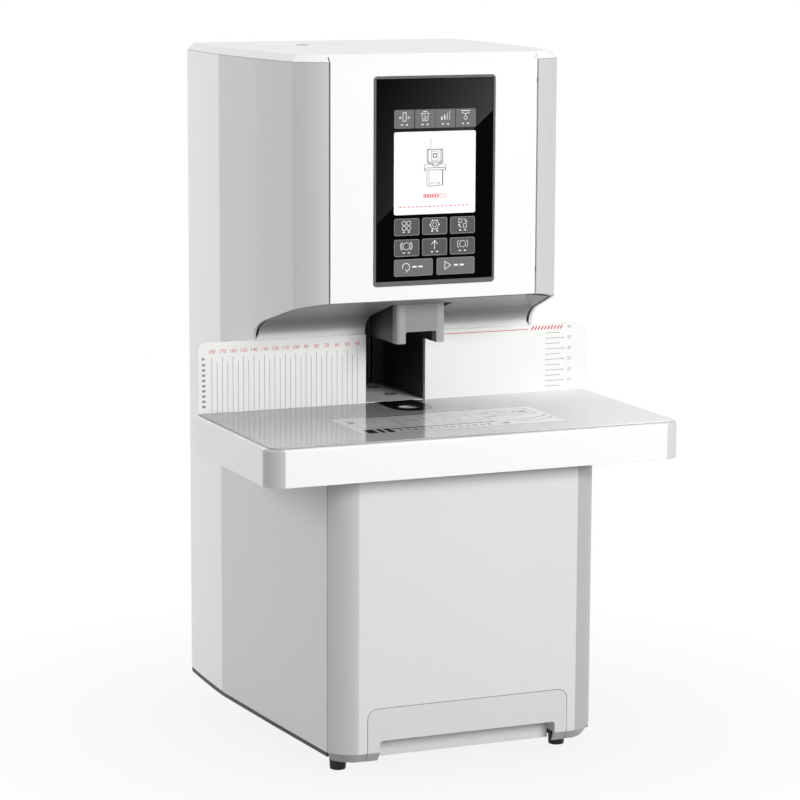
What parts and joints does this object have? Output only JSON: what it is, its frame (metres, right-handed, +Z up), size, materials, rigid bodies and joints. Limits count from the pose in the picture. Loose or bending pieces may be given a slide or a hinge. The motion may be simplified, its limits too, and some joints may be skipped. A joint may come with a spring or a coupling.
{
  "type": "document riveting machine",
  "caption": "Desk machine that clamps, drills and rivets paper stacks: table with backstops, throat with presser foot, head with touch display, scrap drawer.",
  "frame": {"origin": "middle of the bounding box's bottom, on the desk under the machine", "axes": "+Z up, -Y towards the user, +X to the user's right"},
  "size_m": [0.3896, 0.374, 0.622],
  "materials": {
    "white_shell": "satin white",
    "grey_sheet": "glossy grey",
    "printed_plate": "printed light grey",
    "black_plastic": "satin black",
    "black_glass": "black display glass",
    "grey_rim": "satin grey",
    "black_steel": "black powder coat",
    "grey_paint": "grey paint",
    "bright_steel": "ground steel",
    "aluminium": "machined",
    "rubber": "black rubber",
    "nylon": "natural nylon",
    "brass": "turned brass",
    "green_board": "circuit board",
    "motor_case": "dark motor case"
  },
  "bodies": {
    "machine": {"left_side_panel": "white_shell", "right_side_panel": "white_shell", "rear_cover": "white_shell", "top_cover": "white_shell", "throat_liner": "white_shell", "base_front_cover": "white_shell", "worktable_body": "white_shell", "table_sheet": "grey_sheet", "left_backstop_plate": "printed_plate", "right_backstop_plate": "printed_plate", "drill_pad_plate": "black_plastic", "recess_liner": "black_plastic", "tube_inlet_guide": "black_plastic", "power_inlet": "black_plastic", "base_plate": "black_steel", "column_frame": "black_steel", "chip_chute": "black_steel", "recess_floor_plate": "grey_paint", "door_hinge_pin": "bright_steel", "presser_rod_left": "bright_steel", "presser_rod_right": "bright_steel", "lift_rod_front": "bright_steel", "lift_rod_rear": "bright_steel", "feeder_frame": "aluminium", "power_supply": "aluminium", "foot_front_left": "rubber", "foot_front_right": "rubber", "foot_rear_left": "rubber", "foot_rear_right": "rubber", "presser_motor": "motor_case", "lift_motor": "motor_case", "cutter_solenoid": "motor_case", "shuttle_actuator": "motor_case"},
    "door": {"front_door": "white_shell", "display_bezel": "grey_rim", "display_glass": "black_glass", "control_board": "green_board"},
    "drawer": {"scrap_drawer": "white_shell"},
    "presser": {"presser_foot": "grey_paint", "presser_fork": "black_steel"},
    "presser_screw_body": {"presser_screw": "bright_steel"},
    "lift": {"lift_carriage": "aluminium", "turret_motor": "motor_case"},
    "lift_screw_body": {"lift_screw": "bright_steel"},
    "turret": {"turret_arm": "aluminium", "drill_motor": "motor_case", "drill_belt": "rubber", "rivet_quill": "bright_steel", "upper_rivet_die": "brass"},
    "turret_wheel": {"turret_drive_wheel": "aluminium"},
    "spindle": {"drill_spindle": "bright_steel", "drill_bit": "bright_steel"},
    "drive_pulley": {"drill_drive_pulley": "aluminium"},
    "feed_roller_1": {"feed_roller_drive": "rubber"},
    "feed_roller_2": {"feed_roller_idler": "rubber"},
    "cutter": {"cutter_blade": "bright_steel"},
    "shuttle": {"lower_shuttle": "aluminium", "cutting_pad": "nylon", "lower_rivet_die": "brass"},
    "rocker": {"power_rocker": "black_plastic"}
  },
  "joints": [
    {"name": "door_hinge", "type": "hinge", "parent": "machine", "child": "door", "pos_m": [0.097, -0.0808, 0.4066], "axis": [0, 0, 1], "range_deg": [0, 95]},
    {"name": "drawer_slide", "type": "slide", "parent": "machine", "child": "drawer", "axis": [0, -1, 0], "range_m": [0, 0.12]},
    {"name": "presser_slide", "type": "slide", "parent": "machine", "child": "presser", "axis": [0, 0, -1], "range_m": [0, 0.06]},
    {"name": "presser_screw_turn", "type": "hinge", "parent": "machine", "child": "presser_screw_body", "pos_m": [0, 0.114, 0.3], "axis": [0, 0, 1], "range_deg": [0, 2700]},
    {"name": "lift_slide", "type": "slide", "parent": "machine", "child": "lift", "axis": [0, 0, -1], "range_m": [0, 0.1088]},
    {"name": "lift_screw_turn", "type": "hinge", "parent": "machine", "child": "lift_screw_body", "pos_m": [0.108, 0.0556, 0.5], "axis": [0, 0, 1], "range_deg": [0, 3916.8]},
    {"name": "turret_turn", "type": "hinge", "parent": "lift", "child": "turret", "pos_m": [-0.0263, 0.03705, 0.535], "axis": [0, 0, 1], "range_deg": [0, 180]},
    {"name": "turret_wheel_turn", "type": "hinge", "parent": "lift", "child": "turret_wheel", "pos_m": [0.01536, 0.0297, 0.593], "axis": [0, 0, 1], "range_deg": [-292.5, 0]},
    {"name": "spindle_spin", "type": "hinge", "parent": "turret", "child": "spindle", "pos_m": [0, -0.0279, 0.489], "axis": [0, 0, 1], "continuous": true},
    {"name": "drive_pulley_spin", "type": "hinge", "parent": "turret", "child": "drive_pulley", "pos_m": [-0.0263, 0.03705, 0.515], "axis": [0, 0, 1], "continuous": true},
    {"name": "feed_roller_1_spin", "type": "hinge", "parent": "machine", "child": "feed_roller_1", "pos_m": [-0.0619, 0.102, 0.5869], "axis": [0, 1, 0], "continuous": true},
    {"name": "feed_roller_2_spin", "type": "hinge", "parent": "machine", "child": "feed_roller_2", "pos_m": [-0.0433, 0.102, 0.5869], "axis": [0, 1, 0], "continuous": true},
    {"name": "cutter_slide", "type": "slide", "parent": "machine", "child": "cutter", "axis": [1, 0, 0], "range_m": [0, 0.008]},
    {"name": "shuttle_slide", "type": "slide", "parent": "machine", "child": "shuttle", "axis": [-1, 0, 0], "range_m": [0, 0.04]},
    {"name": "power_rocker_tilt", "type": "hinge", "parent": "machine", "child": "rocker", "pos_m": [-0.06, 0.181, 0.07], "axis": [1, 0, 0], "range_deg": [-10, 10]}
  ],
  "couplings": [
    {"joint": "presser_screw_turn", "follows": "presser_slide", "rad_per_m": 785.4},
    {"joint": "lift_screw_turn", "follows": "lift_slide", "rad_per_m": 628.32},
    {"joint": "turret_wheel_turn", "follows": "turret_turn", "ratio": -1.625},
    {"joint": "drive_pulley_spin", "follows": "spindle_spin", "ratio": 1.2},
    {"joint": "feed_roller_2_spin", "follows": "feed_roller_1_spin", "ratio": -1}
  ]
}
